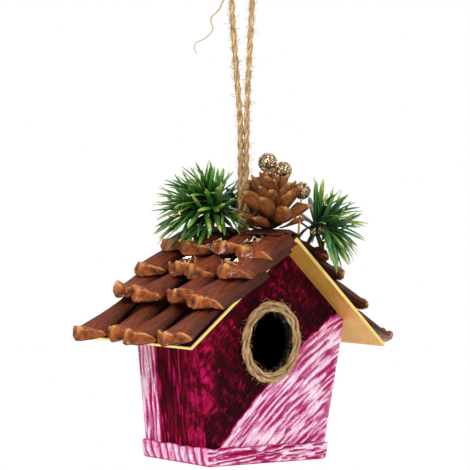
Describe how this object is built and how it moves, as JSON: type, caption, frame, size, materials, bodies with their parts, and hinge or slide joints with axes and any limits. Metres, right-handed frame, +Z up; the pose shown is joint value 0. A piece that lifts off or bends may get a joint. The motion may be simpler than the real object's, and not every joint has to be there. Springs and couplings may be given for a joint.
{
  "type": "hanging birdhouse ornament",
  "caption": "Velvet-covered card birdhouse with a pine-cone scale roof, a round twine-ringed entrance and sprigs, cones and glitter berries on its ridge, hung from a twine loop.",
  "frame": {"origin": "the top of the twine loop, where a hook bears", "axes": "+Z up along the hanging direction, the entrance faces -Y, +X is the house's right seen from the front"},
  "size_m": [0.1263, 0.0815, 0.1993],
  "materials": {
    "card": "matte",
    "velvet": "matte",
    "pale_velvet": "matte",
    "gold_card": "satin",
    "scale": "satin",
    "cone": "satin",
    "glue": "satin",
    "needle": "satin",
    "twig": "matte",
    "glitter": "gloss",
    "wire": "satin",
    "jute": "matte"
  },
  "bodies": {
    "hanger": {"hanger_twine": "jute", "hanger_knot": "jute"},
    "neck": {"twine_neck": "jute"},
    "house": {"front_wall": "card", "back_wall": "card", "left_wall": "card", "right_wall": "card", "floor_panel": "card", "front_velvet": "velvet", "back_velvet": "velvet", "left_velvet": "velvet", "right_velvet": "velvet", "base_band": "pale_velvet", "left_roof_panel": "gold_card", "right_roof_panel": "gold_card", "left_scales_row_1": "scale", "left_scales_row_2": "scale", "left_scales_row_3": "scale", "left_scales_row_4": "scale", "right_scales_row_1": "scale", "right_scales_row_2": "scale", "right_scales_row_3": "scale", "right_scales_row_4": "scale", "front_cone": "cone", "rear_cone": "cone", "front_glue": "glue", "rear_glue": "glue", "left_sprig_needles": "needle", "right_sprig_needles": "needle", "left_sprig_stem": "twig", "right_sprig_stem": "twig", "glitter_berries": "glitter", "berry_stems": "wire", "entrance_ring_inner": "jute", "entrance_ring_outer": "jute", "stopper_knot": "jute"}
  },
  "joints": [
    {"name": "house_spin", "type": "hinge", "parent": "hanger", "child": "neck", "pos_m": [0.0034, -0.0033, -0.107], "axis": [0, 0, 1], "range_deg": [-180, 180]},
    {"name": "house_swing", "type": "hinge", "parent": "neck", "child": "house", "pos_m": [0.0034, -0.0033, -0.107], "axis": [0, 1, 0], "range_deg": [-20, 20]}
  ]
}
